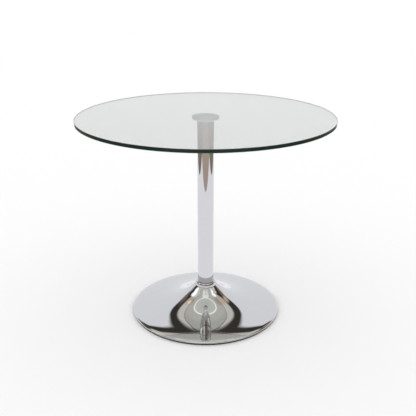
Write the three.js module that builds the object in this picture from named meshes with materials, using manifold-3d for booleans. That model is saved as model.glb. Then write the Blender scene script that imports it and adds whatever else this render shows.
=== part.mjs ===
// Round glass pedestal table: a clear glass top bonded to a steel disc, a chromed tubular column, and a
// spun trumpet base over a cast iron ballast, standing on five levelling glides.
// Millimetres, +Z up, origin on the floor under the column's axis.

import * as THREE from "three";
import { mergeVertices } from "three/addons/utils/BufferGeometryUtils.js";
import Module from "manifold-3d";

const wasm = await Module();
wasm.setup();

// Driving dimensions.
const TABLE_HEIGHT = 750;
const TOP_RADIUS = 450;
const TOP_THICKNESS = 12;
const TOP_ARRIS = 1;
const BASE_RADIUS = 278;
const COLUMN_RADIUS = 30;
const COLUMN_WALL = 1.5;
const GAP = 0.3;

// Facets around a full turn, each a multiple of four so that the widest points lie on the axes.
const WIDE_FACETS = 48;
const MIDDLE_FACETS = 32;
const SMALL_FACETS = 16;

// The disc under the glass, and the clear film that bonds it.
const FILM_THICKNESS = 0.5;
const DISC_RADIUS = 48;
const DISC_THICKNESS = 10;
const DISC_EDGE_ROUND = 4;
const GLASS_BOTTOM = TABLE_HEIGHT - TOP_THICKNESS;
const DISC_TOP = GLASS_BOTTOM - FILM_THICKNESS;
const DISC_BOTTOM = DISC_TOP - DISC_THICKNESS;

// The trumpet shell: its neck under the collar, then heights and falls in degrees out to its shoulder.
const SHELL_WALL = 1.5;
const NECK_HOLE_RADIUS = COLUMN_RADIUS + 1;
const NECK_HEIGHT = 100;
const RIM_BOTTOM = 8;

// The shoulder is part of an ellipse about (SHOULDER_R, SHOULDER_Z), from the fall of the last station
// to the vertical.
const SHOULDER_REACH = 26;
const SHOULDER_DROP = 8.1;
const SHOULDER_FALL = 12;
const SHOULDER_R = BASE_RADIUS - SHOULDER_REACH;
const SHOULDER_Z = 8.3;
const SHOULDER_START = Math.atan2(
  SHOULDER_DROP,
  SHOULDER_REACH * Math.tan(THREE.MathUtils.degToRad(SHOULDER_FALL)),
);
const SHELL_STATIONS = [
  { r: 42, z: NECK_HEIGHT, fall: 46 },
  { r: 60, z: 83, fall: 43 },
  { r: 102, z: 54.6, fall: 27 },
  { r: 138, z: 39.9, fall: 18 },
  { r: 190, z: 27.2, fall: 10 },
  { r: 222, z: 22.2, fall: 7.9 },
  { r: 245, z: 18.9, fall: 8.8 },
  {
    r: SHOULDER_R + SHOULDER_REACH * Math.cos(SHOULDER_START),
    z: SHOULDER_Z + SHOULDER_DROP * Math.sin(SHOULDER_START),
    fall: SHOULDER_FALL,
  },
];
const OUTSIDE_STEPS = 2;
const UNDERSIDE_STEPS = 1;

// The loose collar that covers the shell's neck.
const COLLAR_RADIUS = 41;
const COLLAR_TOP = 114;
const COLLAR_LIP = 1.2;

// The ballast casting.
const BALLAST_RADIUS = 168;
const BALLAST_GAP = 10;
const HUB_RADIUS = 38;
const HUB_TOP = 80;
const NUT_RECESS_RADIUS = 24;
const NUT_RECESS_TOP = 36;

// The bottom plate, its cap and its edge trim.
const PLATE_BOTTOM = 6.5;
const PLATE_TOP = 9;
const PLATE_RADIUS = BASE_RADIUS - 4.7;
const TRIM_BOTTOM = 1.5;
const CAP_HOLE_RADIUS = 30;

// The M10 tie rod that clamps disc, column and ballast together.
const ROD_RADIUS = 5;
const ROD_BOTTOM = 14;
const ROD_ENGAGEMENT = 8;
const PLUG_LENGTH = 18;

// Five M8 levelling glides and five M6 plate screws, evenly spaced.
const COPIES = 5;
const GLIDE_CIRCLE = 215;
const GLIDE_START = Math.PI / 2;
const PAD_RADIUS = 14;
const PAD_HEIGHT = 6;
const STUD_RADIUS = 4;
const STUD_TOP = 15.5;
const STUD_HEX_RADIUS = 6.5;
const STUD_HEX_BOTTOM = 2.5;
const WELD_NUT_RADIUS = 8;
const WELD_NUT_TOP = 14.5;
const SCREW_CIRCLE = 150;
const SCREW_START = GLIDE_START + Math.PI / COPIES;
const SCREW_RADIUS = 3;
const SCREW_HEAD_RADIUS = 6;
const SCREW_HEAD_HEIGHT = 2.5;
const SCREW_TOP = 20;

const CHROME = { color: 0xd2d4d8, roughness: 0.06, metalness: 1 };
const BRUSHED = { color: 0xb8bcc0, roughness: 0.3, metalness: 1 };
const GLASS = { color: 0xd8e2de, roughness: 0.02, metalness: 0 };
const ZINC = { color: 0xb4b4ac, roughness: 0.4, metalness: 1 };
const IRON = { color: 0x2b2c2e, roughness: 0.8, metalness: 0.2 };
const BLACK_STEEL = { color: 0x141415, roughness: 0.55, metalness: 0 };
const RUBBER = { color: 0x0d0d0e, roughness: 0.7, metalness: 0 };
const NYLON = { color: 0x161617, roughness: 0.5, metalness: 0 };

const table = new THREE.Group();

// Adds a named mesh with a material of its own.
function addPart(name, geometry, finish) {
  const mesh = new THREE.Mesh(geometry, new THREE.MeshStandardMaterial(finish));
  mesh.name = name;
  table.add(mesh);
  return mesh;
}

// A solid of revolution about Z from [radius, height] points in anticlockwise order.
function turned(profile, facets, x = 0, y = 0) {
  const points = profile.map(([r, z]) => new THREE.Vector2(r, z));
  return new THREE.LatheGeometry(points, facets).rotateX(Math.PI / 2).translate(x, y, 0);
}

// A ring or tube between two radii and two heights.
function ring(inner, outer, bottom, top, facets, x = 0, y = 0) {
  const profile = [[inner, bottom], [outer, bottom], [outer, top], [inner, top], [inner, bottom]];
  return turned(profile, facets, x, y);
}

// A solid round bar between two heights.
function bar(radius, bottom, top, facets, x = 0, y = 0) {
  return turned([[0, bottom], [radius, bottom], [radius, top], [0, top]], facets, x, y);
}

// A hexagonal prism with an optional round hole.
function hexagon(circumradius, holeRadius, bottom, top) {
  const outline = new THREE.Shape();
  for (let i = 0; i < 6; i++) {
    const angle = (i * Math.PI) / 3;
    const corner = [circumradius * Math.cos(angle), circumradius * Math.sin(angle)];
    if (i === 0) outline.moveTo(...corner);
    else outline.lineTo(...corner);
  }
  outline.closePath();
  if (holeRadius > 0) {
    outline.holes.push(new THREE.Path().absarc(0, 0, holeRadius, 0, 2 * Math.PI, true));
  }
  const options = { depth: top - bottom, bevelEnabled: false, curveSegments: SMALL_FACETS / 2 };
  return new THREE.ExtrudeGeometry(outline, options).translate(0, 0, bottom);
}

// A closed geometry as a solid for joining and cutting.
function solidOf(geometry) {
  const bare = geometry.clone();
  bare.deleteAttribute("normal");
  bare.deleteAttribute("uv");
  const merged = mergeVertices(bare, 1e-3);
  return new wasm.Manifold(
    new wasm.Mesh({
      numProp: 3,
      vertProperties: new Float32Array(merged.attributes.position.array),
      triVerts: new Uint32Array(merged.index.array),
    }),
  );
}

// The geometry of a solid.
function geometryOf(solid) {
  const mesh = solid.getMesh();
  const geometry = new THREE.BufferGeometry();
  geometry.setAttribute("position", new THREE.BufferAttribute(mesh.vertProperties, 3));
  geometry.setIndex(new THREE.BufferAttribute(mesh.triVerts, 1));
  geometry.computeVertexNormals();
  return geometry;
}

// The first geometry with all the others cut away.
function cut(geometry, cutters) {
  return geometryOf(cutters.reduce((body, cutter) => body.subtract(solidOf(cutter)), solidOf(geometry)));
}

// The places of the copies round a circle.
function around(circle, start) {
  return Array.from({ length: COPIES }, (_, i) => {
    const angle = start + (2 * Math.PI * i) / COPIES;
    return { x: circle * Math.cos(angle), y: circle * Math.sin(angle), angle };
  });
}

// [r, z] points on an ellipse from its outermost point up to an angle, a quarter turn at most.
function ellipseArc(centreR, centreZ, radiusR, radiusZ, steps, end = Math.PI / 2) {
  return Array.from({ length: steps + 1 }, (_, i) => {
    const angle = (i * end) / steps;
    return [centreR + radiusR * Math.cos(angle), centreZ + radiusZ * Math.sin(angle)];
  });
}

// The shoulder's curve, from its outermost point up to the last station, moved in by the wall for the inside.
function shoulderArc(inset, steps) {
  const [reach, drop] = [SHOULDER_REACH - inset, SHOULDER_DROP - inset];
  return ellipseArc(SHOULDER_R, SHOULDER_Z, reach, drop, steps, SHOULDER_START);
}

// The shell's outer height and its downward slope at a radius, by cubic curves between the stations.
function shellAt(r) {
  const last = SHELL_STATIONS.length - 2;
  let i = 0;
  while (i < last && r > SHELL_STATIONS[i + 1].r) i++;
  const [a, b] = [SHELL_STATIONS[i], SHELL_STATIONS[i + 1]];
  const span = b.r - a.r;
  const t = (r - a.r) / span;
  const slopeA = -Math.tan(THREE.MathUtils.degToRad(a.fall));
  const slopeB = -Math.tan(THREE.MathUtils.degToRad(b.fall));
  const rise = b.z - a.z;
  const c2 = 3 * rise - span * (2 * slopeA + slopeB);
  const c3 = span * (slopeA + slopeB) - 2 * rise;
  const height = a.z + span * slopeA * t + c2 * t * t + c3 * t * t * t;
  const slope = (span * slopeA + 2 * c2 * t + 3 * c3 * t * t) / span;
  return { height, slope };
}

// Radii from the neck's edge to the shoulder, a few in each stretch between stations.
function shellRadii(steps) {
  const radii = [];
  for (let i = 0; i < SHELL_STATIONS.length - 1; i++) {
    const [a, b] = [SHELL_STATIONS[i], SHELL_STATIONS[i + 1]];
    for (let k = 0; k < steps; k++) radii.push(a.r + ((b.r - a.r) * k) / steps);
  }
  return radii;
}

function addTop() {
  const rim = [
    [TOP_RADIUS - TOP_ARRIS, GLASS_BOTTOM],
    [TOP_RADIUS, GLASS_BOTTOM + TOP_ARRIS],
    [TOP_RADIUS, TABLE_HEIGHT - TOP_ARRIS],
    [TOP_RADIUS - TOP_ARRIS, TABLE_HEIGHT],
  ];
  addPart("glass_top", turned([[0, GLASS_BOTTOM], ...rim, [0, TABLE_HEIGHT]], WIDE_FACETS), GLASS);
  const filmRadius = DISC_RADIUS - 1;
  addPart("adhesive_film", bar(filmRadius, DISC_TOP, GLASS_BOTTOM, MIDDLE_FACETS), GLASS);

  const holeRadius = ROD_RADIUS + GAP;
  const holeTop = DISC_BOTTOM + ROD_ENGAGEMENT + 1;
  const lowerRound = ellipseArc(
    DISC_RADIUS - DISC_EDGE_ROUND,
    -(DISC_BOTTOM + DISC_EDGE_ROUND),
    DISC_EDGE_ROUND,
    DISC_EDGE_ROUND,
    4,
  );
  const lowerEdge = lowerRound.map(([r, z]) => [r, -z]).reverse();
  const discProfile = [
    [0, holeTop],
    [holeRadius, holeTop],
    [holeRadius, DISC_BOTTOM],
    ...lowerEdge,
    [DISC_RADIUS, DISC_TOP],
    [0, DISC_TOP],
  ];
  addPart("top_disc", turned(discProfile, MIDDLE_FACETS), BRUSHED);
}

function addColumn() {
  const inner = COLUMN_RADIUS - COLUMN_WALL;
  const plugRadius = inner - GAP;
  const rodHole = ROD_RADIUS + GAP;
  const column = ring(inner, COLUMN_RADIUS, HUB_TOP, DISC_BOTTOM, MIDDLE_FACETS);
  addPart("column_tube", column, CHROME);
  const topPlug = ring(rodHole, plugRadius, DISC_BOTTOM - PLUG_LENGTH, DISC_BOTTOM, MIDDLE_FACETS);
  addPart("column_top_plug", topPlug, NYLON);
  const footPlug = ring(rodHole, plugRadius, HUB_TOP, HUB_TOP + PLUG_LENGTH, MIDDLE_FACETS);
  addPart("column_foot_plug", footPlug, NYLON);
  addPart("tie_rod", bar(ROD_RADIUS, ROD_BOTTOM, DISC_BOTTOM + ROD_ENGAGEMENT, SMALL_FACETS), ZINC);
}

function addCollar() {
  const inner = COLUMN_RADIUS + GAP;
  const crown = inner + COLLAR_LIP;
  const bulge = ellipseArc(crown, NECK_HEIGHT, COLLAR_RADIUS - crown, COLLAR_TOP - NECK_HEIGHT, 6);
  const profile = [[inner, NECK_HEIGHT], ...bulge, [inner, COLLAR_TOP], [inner, NECK_HEIGHT]];
  addPart("collar", turned(profile, MIDDLE_FACETS), CHROME);
}

function addShell() {
  const outside = shellRadii(OUTSIDE_STEPS).map((r) => [r, shellAt(r).height]);
  const underside = shellRadii(UNDERSIDE_STEPS).map((r) => {
    const { height, slope } = shellAt(r);
    return [r - 1, height - SHELL_WALL * Math.hypot(1, slope)];
  });
  const profile = [
    [NECK_HOLE_RADIUS, NECK_HEIGHT - SHELL_WALL],
    ...underside,
    ...shoulderArc(SHELL_WALL, 3).reverse(),
    [BASE_RADIUS - SHELL_WALL, RIM_BOTTOM],
    [BASE_RADIUS, RIM_BOTTOM],
    ...shoulderArc(0, 5),
    ...outside.reverse(),
    [NECK_HOLE_RADIUS, NECK_HEIGHT],
    [NECK_HOLE_RADIUS, NECK_HEIGHT - SHELL_WALL],
  ];
  addPart("base_shell", turned(profile, WIDE_FACETS), CHROME);
}

function addBallast() {
  const rodHole = ROD_RADIUS + GAP;
  const flankStart = SHELL_STATIONS[1].r + 2;
  const inner = shellRadii(OUTSIDE_STEPS).filter((r) => r > flankStart && r < BALLAST_RADIUS);
  const flank = [flankStart, ...inner, BALLAST_RADIUS].map((r) => [r, shellAt(r).height - BALLAST_GAP]);
  const profile = [
    [rodHole, NUT_RECESS_TOP],
    [NUT_RECESS_RADIUS, NUT_RECESS_TOP],
    [NUT_RECESS_RADIUS, PLATE_TOP],
    [BALLAST_RADIUS, PLATE_TOP],
    ...flank.reverse(),
    [HUB_RADIUS, HUB_TOP],
    [rodHole, HUB_TOP],
    [rodHole, NUT_RECESS_TOP],
  ];
  const holes = around(SCREW_CIRCLE, SCREW_START).map(({ x, y }) =>
    bar(SCREW_RADIUS + GAP, PLATE_TOP - 1, SCREW_TOP + 1, SMALL_FACETS, x, y),
  );
  addPart("ballast", cut(turned(profile, WIDE_FACETS), holes), IRON);
}

function addUnderside() {
  const plate = ring(CAP_HOLE_RADIUS, PLATE_RADIUS, PLATE_BOTTOM, PLATE_TOP, WIDE_FACETS);
  const drill = (radius) => ({ x, y }) => bar(radius, PLATE_BOTTOM - 1, PLATE_TOP + 1, SMALL_FACETS, x, y);
  const holes = [
    ...around(GLIDE_CIRCLE, GLIDE_START).map(drill(STUD_RADIUS + 2 * GAP)),
    ...around(SCREW_CIRCLE, SCREW_START).map(drill(SCREW_RADIUS + 2 * GAP)),
  ];
  addPart("bottom_plate", cut(plate, holes), BLACK_STEEL);

  const trimInner = PLATE_RADIUS - 10;
  const trimProfile = [
    [trimInner, PLATE_BOTTOM - 1.5],
    [PLATE_RADIUS - 2, TRIM_BOTTOM],
    [BASE_RADIUS - 1.5, TRIM_BOTTOM],
    [BASE_RADIUS - 0.5, RIM_BOTTOM],
    [PLATE_RADIUS + GAP, RIM_BOTTOM],
    [PLATE_RADIUS + GAP, PLATE_BOTTOM],
    [trimInner, PLATE_BOTTOM],
    [trimInner, PLATE_BOTTOM - 1.5],
  ];
  addPart("rim_trim", turned(trimProfile, WIDE_FACETS), RUBBER);

  const capPlug = CAP_HOLE_RADIUS - GAP;
  const capProfile = [
    [0, PLATE_BOTTOM - 2],
    [capPlug + 3, PLATE_BOTTOM - 2],
    [capPlug + 4, PLATE_BOTTOM],
    [capPlug, PLATE_BOTTOM],
    [capPlug, PLATE_TOP],
    [capPlug - 2, PLATE_TOP],
    [capPlug - 2, PLATE_BOTTOM],
    [0, PLATE_BOTTOM],
  ];
  addPart("access_cap", turned(capProfile, MIDDLE_FACETS), NYLON);
}

function addRodFastening() {
  const hole = ROD_RADIUS + GAP;
  const washerBottom = NUT_RECESS_TOP - 2.5;
  const springBottom = washerBottom - 2.5;
  const nutBottom = springBottom - 8;
  addPart("rod_washer", ring(hole, 15, washerBottom, NUT_RECESS_TOP, SMALL_FACETS), ZINC);
  const slit = new THREE.BoxGeometry(12, 1, 4).translate(10, 0, springBottom + 1);
  addPart("rod_spring_washer", cut(ring(hole, 9, springBottom, washerBottom, SMALL_FACETS), [slit]), ZINC);
  addPart("rod_nut", hexagon(9.8, hole, nutBottom, springBottom), ZINC);
}

function addGlides() {
  const socketRadius = STUD_HEX_RADIUS + 2 * GAP;
  const padProfile = [
    [0, 0],
    [PAD_RADIUS - 1, 0],
    [PAD_RADIUS, 1],
    [PAD_RADIUS, PAD_HEIGHT - 1],
    [PAD_RADIUS - 1, PAD_HEIGHT],
    [socketRadius, PAD_HEIGHT],
    [socketRadius, STUD_HEX_BOTTOM],
    [0, STUD_HEX_BOTTOM],
  ];
  const hexBottom = STUD_HEX_BOTTOM + GAP;
  const stud = geometryOf(
    solidOf(hexagon(STUD_HEX_RADIUS, 0, hexBottom, PAD_HEIGHT)).add(
      solidOf(bar(STUD_RADIUS, hexBottom, STUD_TOP, SMALL_FACETS)),
    ),
  );
  const nutProfile = [
    [STUD_RADIUS + GAP, PLATE_TOP],
    [WELD_NUT_RADIUS, PLATE_TOP],
    [WELD_NUT_RADIUS, WELD_NUT_TOP - 1],
    [WELD_NUT_RADIUS - 1, WELD_NUT_TOP],
    [STUD_RADIUS + GAP, WELD_NUT_TOP],
    [STUD_RADIUS + GAP, PLATE_TOP],
  ];
  around(GLIDE_CIRCLE, GLIDE_START).forEach(({ x, y }, i) => {
    const name = `glide_${i + 1}`;
    addPart(`${name}_pad`, turned(padProfile, SMALL_FACETS, x, y), NYLON);
    addPart(`${name}_stud`, stud.clone().translate(x, y, 0), ZINC);
    addPart(`${name}_weld_nut`, turned(nutProfile, SMALL_FACETS, x, y), ZINC);
  });
}

function addPlateScrews() {
  const headBottom = PLATE_BOTTOM - SCREW_HEAD_HEIGHT;
  const profile = [
    [0, headBottom],
    [SCREW_HEAD_RADIUS - 1, headBottom],
    [SCREW_HEAD_RADIUS, headBottom + 1],
    [SCREW_HEAD_RADIUS, PLATE_BOTTOM],
    [SCREW_RADIUS, PLATE_BOTTOM],
    [SCREW_RADIUS, SCREW_TOP],
    [0, SCREW_TOP],
  ];
  around(SCREW_CIRCLE, SCREW_START).forEach(({ x, y }, i) => {
    addPart(`plate_screw_${i + 1}`, turned(profile, SMALL_FACETS, x, y), ZINC);
  });
}

addTop();
addColumn();
addCollar();
addShell();
addBallast();
addUnderside();
addRodFastening();
addGlides();
addPlateScrews();

export default table;
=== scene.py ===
"""Round glass pedestal table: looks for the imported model, in metres."""

import math
import bpy
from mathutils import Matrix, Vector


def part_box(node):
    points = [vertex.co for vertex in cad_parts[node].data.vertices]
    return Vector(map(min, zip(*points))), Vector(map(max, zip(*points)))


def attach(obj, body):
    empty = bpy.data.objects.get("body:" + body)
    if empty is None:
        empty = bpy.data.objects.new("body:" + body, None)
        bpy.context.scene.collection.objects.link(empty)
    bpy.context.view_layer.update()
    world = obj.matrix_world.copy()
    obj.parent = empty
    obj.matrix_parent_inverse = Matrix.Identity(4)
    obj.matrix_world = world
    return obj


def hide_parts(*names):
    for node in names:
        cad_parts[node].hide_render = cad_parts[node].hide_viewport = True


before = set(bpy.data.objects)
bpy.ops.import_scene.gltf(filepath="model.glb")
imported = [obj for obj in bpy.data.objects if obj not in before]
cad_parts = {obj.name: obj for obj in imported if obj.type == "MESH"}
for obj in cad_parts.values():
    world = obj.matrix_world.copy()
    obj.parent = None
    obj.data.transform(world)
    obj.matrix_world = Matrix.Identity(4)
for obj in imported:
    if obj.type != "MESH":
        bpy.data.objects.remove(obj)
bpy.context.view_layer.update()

MM = 0.001
DEGREES = 180 / math.pi
ON_AXIS = 1e-9

# ---------------------------------------------------------------- sizes read from the frame


def span(node):
    """The lowest and highest z of a node and half its width."""
    low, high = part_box(node)
    return low[2], high[2], (high[0] - low[0]) / 2


GLASS_LOW, GLASS_HIGH, GLASS_RADIUS = span("glass_top")
DISC_LOW, DISC_HIGH, DISC_RADIUS = span("top_disc")
COLUMN_LOW, COLUMN_HIGH, COLUMN_RADIUS = span("column_tube")
COLLAR_LOW, COLLAR_HIGH, COLLAR_RADIUS = span("collar")
SHELL_LOW, SHELL_HIGH, SHELL_RADIUS = span("base_shell")
FILM_RADIUS = span("adhesive_film")[2]
PLATE_LOW, _, PLATE_RADIUS = span("bottom_plate")

# ---------------------------------------------------------------- sizes that the frame does not give

COPIES = 5
SHARP_ANGLE = 30.0
COLUMN_WALL = 1.5 * MM
TUBE_FACETS = 128
WIDE_FACETS = 256
CAP_FACETS = 96
PAD_FACETS = 64
SMALL_FACETS = 36
HEXAGON = 6

# ---------------------------------------------------------------- mesh helpers


def lathe(name, profile, steps, closed=False, x=0.0, y=0.0):
    """A surface of revolution from (radius, z) points; (radius, z, sides) makes that ring a polygon.

    A point on the axis becomes one vertex.
    """
    verts, faces, rings = [], [], []
    for r, z, *sides in profile:
        if r < ON_AXIS:
            rings.append([len(verts)])
            verts.append((x, y, z))
            continue
        start = len(verts)
        for k in range(steps):
            a = 2 * math.pi * k / steps
            reach = r
            if sides:
                half = math.pi / sides[0]
                reach = r * math.cos(half) / math.cos(a % (2 * half) - half)
            verts.append((x + reach * math.cos(a), y + reach * math.sin(a), z))
        rings.append(list(range(start, start + steps)))
    pairs = list(zip(rings, rings[1:]))
    if closed:
        pairs.append((rings[-1], rings[0]))
    for a, b in pairs:
        for k in range(steps):
            j = (k + 1) % steps
            if len(a) == 1 and len(b) == 1:
                continue
            if len(a) == 1:
                faces.append((a[0], b[j], b[k]))
            elif len(b) == 1:
                faces.append((a[k], a[j], b[0]))
            else:
                faces.append((a[k], a[j], b[j], b[k]))
    return piece(name, verts, faces)


def piece(name, verts, faces):
    """A smooth-shaded mesh object that keeps its sharp edges."""
    mesh = bpy.data.meshes.new(name)
    mesh.from_pydata(verts, [], faces)
    mesh.validate()
    mesh.update()
    mesh.shade_smooth()
    mesh.set_sharp_from_angle(angle=math.radians(SHARP_ANGLE))
    obj = bpy.data.objects.new(name, mesh)
    bpy.context.scene.collection.objects.link(obj)
    return obj


def arc(r, z, radius, start, end, steps):
    """(radius, z) points on an arc about (r, z), from start to end degrees; 0 is outwards, 90 is up."""
    points = []
    for k in range(steps + 1):
        a = math.radians(start + (end - start) * k / steps)
        points.append((r + radius * math.cos(a), z + radius * math.sin(a)))
    return points


def dress(obj, material, body, node):
    """Gives a piece its material and body, and hides the CAD node that it stands for."""
    obj.data.materials.append(material)
    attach(obj, body)
    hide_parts(node)


# ---------------------------------------------------------------- material helpers


class Graph:
    """A node tree with short ways to add to it."""

    def __init__(self, tree):
        self.tree = tree

    def add(self, kind, **settings):
        """A new node of a kind with its settings."""
        node = self.tree.nodes.new(kind)
        for key, value in settings.items():
            setattr(node, key, value)
        return node

    def link(self, a, b):
        self.tree.links.new(a, b)

    def math(self, operation, a, b=0.0):
        """The result of an operation on sockets or numbers."""
        node = self.add("ShaderNodeMath", operation=operation)
        for socket, value in zip(node.inputs, (a, b)):
            if hasattr(value, "links"):
                self.link(value, socket)
            else:
                socket.default_value = value
        return node.outputs[0]

    def step(self, value, start, end):
        """A smooth step from 0 at start to 1 at end."""
        node = self.add("ShaderNodeMapRange", interpolation_type="SMOOTHSTEP")
        self.link(value, node.inputs["Value"])
        node.inputs["From Min"].default_value = start
        node.inputs["From Max"].default_value = end
        return node.outputs["Result"]

    def blend(self, factor, a, b):
        """Colour a turning into colour b as factor goes from 0 to 1."""
        node = self.add("ShaderNodeMix", data_type="RGBA")
        self.link(factor, node.inputs["Factor"])
        for socket, value in zip((node.inputs[6], node.inputs[7]), (a, b)):
            if hasattr(value, "links"):
                self.link(value, socket)
            else:
                socket.default_value = (*value, 1.0)
        return node.outputs[2]

    def mirrored(self):
        """1 for what is seen in a mirror and not by way of a matt surface, otherwise 0."""
        path = self.add("ShaderNodeLightPath").outputs
        shiny = self.math("GREATER_THAN", path["Glossy Depth"], 0.5)
        matt = self.math("LESS_THAN", path["Diffuse Depth"], 0.5)
        return self.math("MULTIPLY", shiny, matt)


class Nodes(Graph):
    """A new node material with its Principled shader at hand."""

    def __init__(self, name, **values):
        self.material = bpy.data.materials.new(name)
        self.material.use_nodes = True
        super().__init__(self.material.node_tree)
        self.shader = self.tree.nodes["Principled BSDF"]
        self.output = self.tree.nodes["Material Output"]
        for socket, value in values.items():
            self.shader.inputs[socket.replace("_", " ")].default_value = value
        self.place = self.add("ShaderNodeTexCoord").outputs["Object"]

    def noise(self, scale, detail, roughness=0.5, vector=None):
        """Noise from 0 to 1 over the place, or over another vector."""
        node = self.add("ShaderNodeTexNoise")
        node.inputs["Scale"].default_value = scale
        node.inputs["Detail"].default_value = detail
        node.inputs["Roughness"].default_value = roughness
        self.link(vector or self.place, node.inputs["Vector"])
        return node.outputs["Fac"]

    def stretch(self, x, y, z):
        """The place, scaled along each axis."""
        node = self.add("ShaderNodeMapping")
        node.inputs["Scale"].default_value = (x, y, z)
        self.link(self.place, node.inputs["Vector"])
        return node.outputs["Vector"]

    def radius(self):
        """Distance from the column's axis."""
        parts = self.add("ShaderNodeSeparateXYZ")
        self.link(self.place, parts.inputs[0])
        xx = self.math("MULTIPLY", parts.outputs[0], parts.outputs[0])
        yy = self.math("MULTIPLY", parts.outputs[1], parts.outputs[1])
        return self.math("SQRT", self.math("ADD", xx, yy))

    def between(self, factor, low, high):
        """A number from low to high as factor goes from 0 to 1."""
        node = self.add("ShaderNodeMapRange")
        self.link(factor, node.inputs["Value"])
        node.inputs["To Min"].default_value = low
        node.inputs["To Max"].default_value = high
        return node.outputs["Result"]

    def colours(self, factor, *stops):
        """A colour from (position, (r, g, b)) stops."""
        node = self.add("ShaderNodeValToRGB")
        ramp = node.color_ramp
        while len(ramp.elements) < len(stops):
            ramp.elements.new(0.5)
        for element, (position, colour) in zip(ramp.elements, stops):
            element.position = position
            element.color = (*colour, 1.0)
        self.link(factor, node.inputs["Fac"])
        return node.outputs["Color"]

    def bump(self, height, distance):
        """Makes the surface look raised by distance where height is 1."""
        node = self.add("ShaderNodeBump")
        node.inputs["Distance"].default_value = distance
        self.link(height, node.inputs["Height"])
        self.link(node.outputs["Normal"], self.shader.inputs["Normal"])

    def tinted(self, factor, tint):
        """The tint, with a trace less of it where factor is low, as the base colour."""
        shade = tuple(c * 0.985 for c in tint)
        self.link(self.colours(factor, (0.3, shade), (0.7, tint)), self.shader.inputs["Base Color"])


def chrome(name, ripple=0.0):
    """Mirror chrome plate with faint polishing haze, and a ripple where it is buffed by hand."""
    m = Nodes(name, Metallic=1.0, Roughness=0.02)
    if ripple:
        m.bump(m.noise(110.0, 2.0), ripple)
    haze = m.noise(28.0, 5.0, 0.6)
    m.tinted(haze, (0.60, 0.60, 0.625))
    m.link(m.between(haze, 0.01, 0.045), m.shader.inputs["Roughness"])
    return m.material


def clear_glass(name, tint):
    """Clear glass with a faint waviness that only shows in its sheen."""
    m = Nodes(name, IOR=1.5)
    m.shader.inputs["Transmission Weight"].default_value = 1.0
    wave = m.noise(9.0, 2.0)
    m.tinted(wave, tint)
    m.link(m.between(wave, 0.0, 0.004), m.shader.inputs["Roughness"])
    return m


def float_glass(name):
    """Clear glass that turns green where light passes far through it."""
    m = clear_glass(name, (0.735, 0.722, 0.725))
    absorb = m.add("ShaderNodeVolumeAbsorption")
    absorb.inputs["Color"].default_value = (0.0, 0.27, 0.19, 1.0)
    absorb.inputs["Density"].default_value = 5.2
    m.link(absorb.outputs[0], m.output.inputs["Volume"])
    return m.material


def glass_edge(name, low, high):
    """The ground and polished edge of float glass: deep green, with a painted highlight that pales it
    towards both arrises.
    """
    m = Nodes(name, Roughness=0.08, IOR=1.5)
    parts = m.add("ShaderNodeSeparateXYZ")
    m.link(m.place, parts.inputs[0])
    middle = m.math("ABSOLUTE", m.math("SUBTRACT", parts.outputs[2], (low + high) / 2))
    height = m.math("DIVIDE", middle, (high - low) / 2)
    streak = m.noise(1.0, 3.0, 0.6, m.stretch(60.0, 60.0, 900.0))
    mixed = m.math("ADD", height, m.math("MULTIPLY", m.math("SUBTRACT", streak, 0.5), 0.35))
    # Painted highlight: the dark green grows paler towards both arrises, standing in for the light that
    # they catch.
    stops = ((0.4, (0.002, 0.012, 0.008)), (0.85, (0.006, 0.030, 0.023)), (1.0, (0.03, 0.10, 0.08)))
    m.link(m.colours(mixed, *stops), m.shader.inputs["Base Color"])
    m.link(m.between(streak, 0.05, 0.12), m.shader.inputs["Roughness"])
    return m.material


def turned_steel(name):
    """Lathe-turned steel: fine rings about the axis."""
    m = Nodes(name, Metallic=1.0, Roughness=0.25)
    feed = 0.35 * MM
    rings = m.math("SINE", m.math("MULTIPLY", m.radius(), 2 * math.pi / feed))
    grain = m.noise(400.0, 2.0)
    steel = m.colours(grain, (0.2, (0.72, 0.74, 0.73)), (0.8, (0.82, 0.84, 0.83)))
    m.link(steel, m.shader.inputs["Base Color"])
    m.link(m.between(grain, 0.12, 0.22), m.shader.inputs["Roughness"])
    m.bump(rings, 0.004 * MM)
    return m.material


def grained(name, dark, light, rough, scale, relief, metallic=0.0):
    """A matt, painted or plated surface with a fine grain."""
    m = Nodes(name, Metallic=metallic)
    spread = 0.08
    grain = m.noise(scale, 6.0, 0.6)
    m.link(m.colours(grain, (0.3, dark), (0.7, light)), m.shader.inputs["Base Color"])
    m.link(m.between(grain, rough - spread, rough + spread), m.shader.inputs["Roughness"])
    m.bump(grain, relief)
    return m.material


GLASS = float_glass("float_glass")
EDGE = glass_edge("glass_edge", GLASS_LOW, GLASS_HIGH)
FILM = clear_glass("bond_film", (0.97, 0.99, 0.98)).material
CHROME = chrome("chrome_plate")
CHROME_CASTING = chrome("chrome_casting", 0.9 * MM)
STEEL = turned_steel("turned_steel")
# Grained materials: dark and light colour, roughness, scale and depth of the grain.
ZINC = grained("zinc_plate", (0.52, 0.52, 0.49), (0.66, 0.66, 0.63), 0.34, 900.0, 0.01 * MM, 1.0)
IRON = grained("cast_iron_paint", (0.022, 0.022, 0.024), (0.045, 0.045, 0.048), 0.62, 350.0, 0.25 * MM)
POWDER = grained("black_powder_coat", (0.012, 0.012, 0.013), (0.022, 0.022, 0.024), 0.46, 1600.0, 0.05 * MM)
RUBBER = grained("black_rubber", (0.010, 0.010, 0.010), (0.018, 0.018, 0.018), 0.7, 700.0, 0.04 * MM)
NYLON = grained("black_nylon", (0.014, 0.014, 0.015), (0.024, 0.024, 0.025), 0.42, 1100.0, 0.02 * MM)

# ---------------------------------------------------------------- the shell's curve

SHELL_WALL = 1.5 * MM
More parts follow.
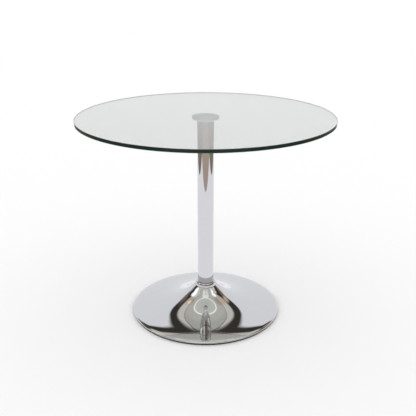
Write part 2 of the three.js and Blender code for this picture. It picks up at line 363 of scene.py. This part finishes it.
# The rim is rounded off by part of an ellipse, from where the shell falls by SHOULDER_FALL degrees.
SHOULDER_REACH = 26 * MM
SHOULDER_DROP = 8.1 * MM
SHOULDER_FALL = 12.0
SHOULDER_START = math.atan2(SHOULDER_DROP, SHOULDER_REACH * math.tan(math.radians(SHOULDER_FALL)))
SHOULDER_CENTRE = (SHELL_RADIUS - SHOULDER_REACH, 8.3 * MM)
# Radius, height and fall in degrees of the shell's outside.
STATIONS = [
    (42.0 * MM, SHELL_HIGH, 46.0),
    (60.0 * MM, 83.0 * MM, 43.0),
    (102.0 * MM, 54.6 * MM, 27.0),
    (138.0 * MM, 39.9 * MM, 18.0),
    (190.0 * MM, 27.2 * MM, 10.0),
    (222.0 * MM, 22.2 * MM, 7.9),
    (245.0 * MM, 18.9 * MM, 8.8),
    (
        SHOULDER_CENTRE[0] + SHOULDER_REACH * math.cos(SHOULDER_START),
        SHOULDER_CENTRE[1] + SHOULDER_DROP * math.sin(SHOULDER_START),
        SHOULDER_FALL,
    ),
]


def shell_at(r):
    """The shell's outer height and slope at a radius, by cubic curves between the stations."""
    i = 0
    while i < len(STATIONS) - 2 and r > STATIONS[i + 1][0]:
        i += 1
    (ra, za, fa), (rb, zb, fb) = STATIONS[i], STATIONS[i + 1]
    width, rise = rb - ra, zb - za
    t = (r - ra) / width
    sa, sb = -math.tan(math.radians(fa)), -math.tan(math.radians(fb))
    c2 = 3 * rise - width * (2 * sa + sb)
    c3 = width * (sa + sb) - 2 * rise
    height = za + width * sa * t + c2 * t * t + c3 * t ** 3
    return height, (width * sa + 2 * c2 * t + 3 * c3 * t * t) / width


def shell_radii(steps):
    """Radii from the neck outwards, with so many steps between stations and without the last one."""
    radii = []
    for (ra, _, _), (rb, _, _) in zip(STATIONS, STATIONS[1:]):
        radii += [ra + (rb - ra) * k / steps for k in range(steps)]
    return radii


# ---------------------------------------------------------------- pieces


def make_glass():
    """The glass top, whose arrises and edge have the edge's material."""
    arris = 1.0 * MM
    flat = 0.9
    edge = [
        (GLASS_RADIUS - arris, GLASS_LOW),
        (GLASS_RADIUS, GLASS_LOW + arris),
        (GLASS_RADIUS, GLASS_HIGH - arris),
        (GLASS_RADIUS - arris, GLASS_HIGH),
    ]
    top = lathe("round_glass_top", [(0, GLASS_LOW), *edge, (0, GLASS_HIGH)], WIDE_FACETS)
    dress(top, GLASS, "table", "glass_top")
    top.data.materials.append(EDGE)
    for face in top.data.polygons:
        if abs(face.normal.z) < flat:
            face.material_index = 1


def make_disc():
    """The disc and its bonded face, which reaches just into the glass as an air-free joint does."""
    curl = 4 * MM
    ease = 0.4 * MM
    hole = 5.3 * MM
    hole_top = DISC_LOW + 9 * MM
    face = GLASS_LOW + 0.15 * MM
    profile = [
        (0, hole_top),
        (hole, hole_top),
        (hole, DISC_LOW),
        *arc(DISC_RADIUS - curl, DISC_LOW + curl, curl, -90, 0, 8),
        *arc(DISC_RADIUS - ease, DISC_HIGH - ease, ease, 0, 90, 3),
        (FILM_RADIUS, DISC_HIGH),
        (FILM_RADIUS, face),
        (0, face),
    ]
    dress(lathe("steel_disc", profile, TUBE_FACETS), STEEL, "table", "top_disc")


def make_column():
    """The column's tube with its outer ends eased."""
    ease = 0.4 * MM
    bore = COLUMN_RADIUS - COLUMN_WALL
    profile = [
        (COLUMN_RADIUS - ease, COLUMN_LOW),
        (COLUMN_RADIUS, COLUMN_LOW + ease),
        (COLUMN_RADIUS, COLUMN_HIGH - ease),
        (COLUMN_RADIUS - ease, COLUMN_HIGH),
        (bore, COLUMN_HIGH),
        (bore, COLUMN_LOW),
    ]
    tube = lathe("chrome_column", profile, TUBE_FACETS, closed=True)
    dress(tube, CHROME, "table", "column_tube")


def make_collar():
    """The ring about the column's foot, rounded from its wide foot to a thin lip at the top."""
    inner = COLUMN_RADIUS + 0.3 * MM
    lip = 1.2 * MM
    width = COLLAR_RADIUS - inner - lip
    height = COLLAR_HIGH - COLLAR_LOW
    steps = 24
    bulge = []
    for k in range(steps + 1):
        a = math.pi / 2 * k / steps
        bulge.append((inner + lip + width * math.cos(a), COLLAR_LOW + height * math.sin(a)))
    profile = [(inner, COLLAR_LOW), *bulge, (inner, COLLAR_HIGH)]
    ring = lathe("chrome_collar", profile, TUBE_FACETS, closed=True)
    dress(ring, CHROME_CASTING, "table", "collar")


def shoulder(inset, steps):
    """(radius, z) points over the shell's rounded edge, from its outermost point to the last station."""
    points = []
    for k in range(steps + 1):
        a = SHOULDER_START * k / steps
        r = SHOULDER_CENTRE[0] + (SHOULDER_REACH - inset) * math.cos(a)
        points.append((r, SHOULDER_CENTRE[1] + (SHOULDER_DROP - inset) * math.sin(a)))
    return points


def make_shell():
    """The trumpet: a thin shell that flares from the column's foot to its rounded rim."""
    hole = COLUMN_RADIUS + 1 * MM
    tuck = 1 * MM
    outside = [(r, shell_at(r)[0]) for r in shell_radii(16)]
    underside = []
    for r in shell_radii(10):
        height, slope = shell_at(r)
        underside.append((r - tuck, height - SHELL_WALL * math.hypot(1, slope)))
    profile = [
        (hole, SHELL_HIGH - SHELL_WALL),
        *underside,
        *shoulder(SHELL_WALL, 10)[::-1],
        (SHELL_RADIUS - SHELL_WALL, SHELL_LOW),
        (SHELL_RADIUS, SHELL_LOW),
        *shoulder(0.0, 14),
        *outside[::-1],
        (hole, SHELL_HIGH),
    ]
    shell = lathe("trumpet_shell", profile, WIDE_FACETS, closed=True)
    dress(shell, CHROME, "table", "base_shell")


def thread(radius, pitch, low, high):
    """(radius, z) points of the crests and roots of ring-shaped thread turns between two heights."""
    depth = 0.54 * pitch
    points = []
    for k in range(int((high - low) / pitch)):
        z = low + k * pitch
        points += [(radius, z + 0.2 * pitch), (radius - depth, z + 0.7 * pitch)]
    return points


def middle(node):
    """The middle of a node seen from above."""
    low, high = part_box(node)
    return {"x": (low[0] + high[0]) / 2, "y": (low[1] + high[1]) / 2}


def make_trim():
    """The rubber ring under the plate's edge and the shell's rim."""
    low, high, outer = span("rim_trim")
    inner = PLATE_RADIUS - 10 * MM
    crease = PLATE_RADIUS - 2 * MM
    thin = 1.5 * MM
    groove = PLATE_RADIUS + 0.3 * MM
    ease = 0.8 * MM
    profile = [
        (inner, high - thin),
        (crease - ease, low + 0.35 * MM),
        (crease + ease, low),
        *arc(outer - 1 * MM - ease, low + ease, ease, -90, 0, 4),
        (outer, SHELL_LOW),
        (groove, SHELL_LOW),
        (groove, high),
        (inner, high),
    ]
    dress(lathe("rubber_rim", profile, WIDE_FACETS, closed=True), RUBBER, "table", "rim_trim")


def make_cap():
    """The dished cap that plugs the plate's middle hole."""
    low, high, outer = span("access_cap")
    hole = 30 * MM
    plug = hole - 0.3 * MM
    wall = 2 * MM
    dish = 0.7 * MM
    dish_edge = plug - 9 * MM
    brim = plug - 7.5 * MM
    round_edge = 1.2 * MM
    profile = [
        (0, low + dish),
        (dish_edge, low + dish),
        (brim, low),
        *arc(outer - round_edge, low + round_edge, round_edge, -90, 0, 5),
        (outer, PLATE_LOW),
        (plug, PLATE_LOW),
        (plug, high),
        (plug - wall, high),
        (plug - wall, PLATE_LOW),
        (0, PLATE_LOW),
    ]
    dress(lathe("plug_cap", profile, CAP_FACETS), NYLON, "table", "access_cap")


def make_screw(node):
    """A round-headed socket screw with its thread."""
    low, high, head = span(node)
    shaft = 3 * MM
    pitch = 1 * MM
    socket = 2.3 * MM
    socket_depth = 1.8 * MM
    bevel = 0.2 * MM
    round_edge = 1.3 * MM
    profile = [
        (0, low + socket_depth),
        (socket, low + socket_depth, HEXAGON),
        (socket, low + bevel, HEXAGON),
        (2.7 * MM, low),
        *arc(head - round_edge, low + round_edge, round_edge, -90, 0, 5),
        (head, PLATE_LOW),
        (shaft, PLATE_LOW),
        *thread(shaft, pitch, PLATE_LOW + 3 * MM, high - 0.5 * MM),
        (2.3 * MM, high),
        (0, high),
    ]
    screw = lathe(node + "_detail", profile, SMALL_FACETS, **middle(node))
    dress(screw, ZINC, "table", node)


def make_glide(name):
    """A glide's grooved pad and the threaded stud, whose hexagon foot sits in the pad's socket."""
    pad, stud = name + "_pad", name + "_stud"
    spot = middle(pad)

    low, high, outer = span(pad)
    socket = 7.1 * MM
    socket_floor = low + 2.5 * MM
    groove = outer - 0.5 * MM
    tread = 1.6 * MM
    round_edge = 1.2 * MM
    profile = [
        (0, low),
        *arc(outer - tread, low + tread, tread, -90, 0, 5),
        (outer, low + 2.4 * MM),
        (groove, low + 2.8 * MM),
        (groove, low + 3.4 * MM),
        (outer, low + 3.8 * MM),
        *arc(outer - round_edge, high - round_edge, round_edge, 0, 90, 4),
        (socket, high),
        (socket, socket_floor),
        (0, socket_floor),
    ]
    dress(lathe(name + "_foot", profile, PAD_FACETS, **spot), NYLON, pad, pad)

    low, top, _ = span(stud)
    hexagon = 6.5 * MM
    hexagon_end = 5.4 * MM
    bevel = 0.5 * MM
    shaft = 4 * MM
    pitch = 1.25 * MM
    profile = [
        (0, low),
        (hexagon_end, low),
        (hexagon, low + bevel, HEXAGON),
        (hexagon, high - bevel, HEXAGON),
        (hexagon_end, high),
        *thread(shaft, pitch, high, top - 0.6 * MM),
        (3.2 * MM, top),
        (0, top),
    ]
    dress(lathe(name + "_screw", profile, SMALL_FACETS, **spot), ZINC, stud, stud)


make_glass()
make_disc()
make_column()
make_collar()
make_shell()
make_trim()
make_cap()
for i in range(1, COPIES + 1):
    make_screw(f"plate_screw_{i}")
    make_glide(f"glide_{i}")

# CAD nodes that are shown as they are, with a material of their own.
CARRIED = {
    "adhesive_film": FILM,
    "column_top_plug": NYLON,
    "column_foot_plug": NYLON,
    "tie_rod": ZINC,
    "ballast": IRON,
    "bottom_plate": POWDER,
    "rod_washer": ZINC,
    "rod_spring_washer": ZINC,
    "rod_nut": ZINC,
}
for i in range(1, COPIES + 1):
    CARRIED[f"glide_{i}_weld_nut"] = ZINC
for node, material in CARRIED.items():
    for material_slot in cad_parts[node].material_slots:
        material_slot.material = material

# ---------------------------------------------------------------- camera, floor and studio

CAMERA_DISTANCE = 2.1584
CAMERA_HEIGHT = 1.2128
CAMERA_PITCH = 20.483
CAMERA_LENS = 54.466
CAMERA_SENSOR = 36.0
CAMERA_SHIFT = 0.0057

# The white light all round, for everything that isn't a mirror image.
DAYLIGHT = (1.25, 1.25, 1.25)

# What shiny surfaces mirror. Angles are degrees away from straight up, and places are (across, back).
# The grey ceiling ends in the dark of the room, below which the walls begin.
CEILING = (0.76, 0.755, 0.67)
CEILING_EDGE = (41.0, 43.5)
ROOM = (0.05, 0.045, 0.038)
WALLS = (0.84, 0.83, 0.82)
WALL_EDGE = (64.0, 72.0)
# The white backdrop hangs behind the table.
BACKDROP = (1.0, 1.01, 1.02)
BACKDROP_EDGE = (45.5, 47.5)
# A round lamp: a pale disc inside a bright ring.
LAMP_CENTRE = (-0.7, 4.5)
LAMP_RADIUS = 18.6
RING = (1.9, 1.95, 1.8)
RING_HALF_WIDTH = 1.0
RING_SOFTNESS = 0.8
# Oval panels from the lowest layer up: centre, half widths, turn, softness of the edge and colour.
PANELS = [
    ((0.0, 0.0), (34.0, 34.0), 0.0, 0.12, (0.92, 0.91, 0.80)),
    ((5.0, -44.0), (42.0, 15.0), 0.0, 0.3, (0.30, 0.22, 0.16)),
    ((-42.0, 38.0), (13.0, 6.0), 0.0, 0.5, (0.22, 0.18, 0.13)),
    ((37.0, 33.0), (6.0, 5.0), 0.0, 0.6, (0.72, 0.58, 0.44)),
    ((50.0, 33.0), (8.0, 8.0), 0.0, 0.6, (0.30, 0.20, 0.14)),
    ((31.0, 12.0), (9.0, 15.0), 0.0, 0.35, (0.72, 0.62, 0.48)),
    ((-31.0, 16.0), (6.5, 11.0), 0.0, 0.5, (0.66, 0.57, 0.46)),
    ((-28.5, 20.0), (2.6, 3.6), 0.0, 0.6, (1.25, 1.05, 0.72)),
    ((-44.0, 7.0), (6.0, 13.0), 6.0, 0.4, (1.75, 1.75, 1.65)),
    ((32.0, -7.0), (4.0, 10.0), -25.0, 0.5, (1.8, 1.82, 1.7)),
    ((46.0, 1.0), (3.0, 8.0), -30.0, 0.5, (0.95, 0.92, 0.85)),
    ((-1.0, -19.5), (13.0, 7.5), 0.0, 0.4, (1.7, 1.7, 1.55)),
    ((0.0, -28.0), (8.0, 5.0), 0.0, 0.4, (0.95, 1.0, 0.9)),
    ((-17.0, -36.0), (8.0, 9.0), 0.0, 0.5, (1.2, 1.18, 1.1)),
    (LAMP_CENTRE, (LAMP_RADIUS, LAMP_RADIUS), 0.0, 0.05, (1.05, 1.09, 0.94)),
]

# Painted light: the floor glows in mirror images as white paper, and as the room's floor in front of it and
# beside it.
FLOOR_HALF = 12.0
PAPER_GLOW = (1.09, 1.09, 1.10)
PAPER_HALF_WIDTH = 1.74
PAPER_FRONT = -1.42
PAPER_SOFTNESS = 0.02
ROOM_FRONT_GLOW = (0.54, 0.45, 0.36)
ROOM_SIDES_GLOW = (0.30, 0.25, 0.20)


def make_camera():
    """The camera, in front of the table and above it."""
    data = bpy.data.cameras.new("camera")
    data.lens = CAMERA_LENS
    data.sensor_width = CAMERA_SENSOR
    data.shift_x = CAMERA_SHIFT
    data.clip_end = 100.0
    obj = bpy.data.objects.new("camera", data)
    obj.location = (0.0, -CAMERA_DISTANCE, CAMERA_HEIGHT)
    obj.rotation_euler = (math.radians(90 - CAMERA_PITCH), 0.0, 0.0)
    bpy.context.scene.collection.objects.link(obj)
    bpy.context.scene.camera = obj


def make_floor():
    """The pale matt floor, which glows with painted light where shiny surfaces mirror it: lit paper within
    a darker room.
    """
    half = FLOOR_HALF
    verts = [(-half, -half, 0.0), (half, -half, 0.0), (half, half, 0.0), (-half, half, 0.0)]
    floor = piece("floor", verts, [(0, 1, 2, 3)])
    m = Nodes("pale_floor", Roughness=0.9)
    m.shader.inputs["Base Color"].default_value = (0.8, 0.8, 0.8, 1.0)
    m.shader.inputs["Specular IOR Level"].default_value = 0.0
    parts = m.add("ShaderNodeSeparateXYZ")
    m.link(m.place, parts.inputs[0])
    aside = m.math("ABSOLUTE", parts.outputs[0])
    across = m.step(aside, PAPER_HALF_WIDTH + PAPER_SOFTNESS, PAPER_HALF_WIDTH - PAPER_SOFTNESS)
    along = m.step(parts.outputs[1], PAPER_FRONT - PAPER_SOFTNESS, PAPER_FRONT + PAPER_SOFTNESS)
    mirrored = m.blend(across, ROOM_SIDES_GLOW, m.blend(along, ROOM_FRONT_GLOW, PAPER_GLOW))
    # Painted light: in mirror images the floor is an emission of these colours rather than a lit surface.
    glow = m.add("ShaderNodeEmission")
    m.link(mirrored, glow.inputs["Color"])
    mix = m.add("ShaderNodeMixShader")
    m.link(m.mirrored(), mix.inputs[0])
    m.link(m.shader.outputs[0], mix.inputs[1])
    m.link(glow.outputs[0], mix.inputs[2])
    m.link(mix.outputs[0], m.output.inputs["Surface"])
    floor.data.materials.append(m.material)


def make_world():
    """Soft white light all round, and a studio's walls, ceiling and panels for shiny things to mirror."""
    world = bpy.data.worlds.new("studio")
    bpy.context.scene.world = world
    world.use_nodes = True
    g = Graph(world.node_tree)
    background = g.tree.nodes["Background"]
    parts = g.add("ShaderNodeSeparateXYZ")
    g.link(g.add("ShaderNodeTexCoord").outputs["Generated"], parts.inputs[0])
    x, y, z = parts.outputs
    level = g.math("SQRT", g.math("ADD", g.math("MULTIPLY", x, x), g.math("MULTIPLY", y, y)))
    zenith = g.math("MULTIPLY", g.math("ARCTAN2", level, z), DEGREES)
    spread = g.math("DIVIDE", zenith, g.math("MAXIMUM", level, 1e-5))
    chart = g.add("ShaderNodeCombineXYZ")
    g.link(g.math("MULTIPLY", x, spread), chart.inputs[0])
    g.link(g.math("MULTIPLY", y, spread), chart.inputs[1])

    def offset(centre, size, turn):
        """The distance from a centre on the chart, as a share of size."""
        oval = g.add("ShaderNodeMapping", vector_type="TEXTURE")
        oval.inputs["Location"].default_value = (*centre, 0.0)
        oval.inputs["Rotation"].default_value = (0.0, 0.0, math.radians(turn))
        oval.inputs["Scale"].default_value = (*size, 1.0)
        g.link(chart.outputs[0], oval.inputs["Vector"])
        length = g.add("ShaderNodeVectorMath", operation="LENGTH")
        g.link(oval.outputs[0], length.inputs[0])
        return length.outputs["Value"]

    colour = g.blend(g.step(zenith, *CEILING_EDGE), CEILING, ROOM)
    colour = g.blend(g.step(zenith, *WALL_EDGE), colour, WALLS)
    back = g.math("MULTIPLY", g.math("ARCTAN2", y, z), DEGREES)
    colour = g.blend(g.step(back, *BACKDROP_EDGE), colour, BACKDROP)
    for centre, size, turn, soft, tint in PANELS:
        colour = g.blend(g.step(offset(centre, size, turn), 1 + soft, 1 - soft), colour, tint)
    far = offset(LAMP_CENTRE, (1.0, 1.0), 0.0)
    off_ring = g.math("ABSOLUTE", g.math("SUBTRACT", far, LAMP_RADIUS))
    ring = g.step(off_ring, RING_HALF_WIDTH + RING_SOFTNESS, RING_HALF_WIDTH - RING_SOFTNESS)
    colour = g.blend(ring, colour, RING)
    g.link(g.blend(g.mirrored(), DAYLIGHT, colour), background.inputs["Color"])


make_camera()
make_floor()
make_world()

bpy.context.scene.view_settings.view_transform = "Standard"
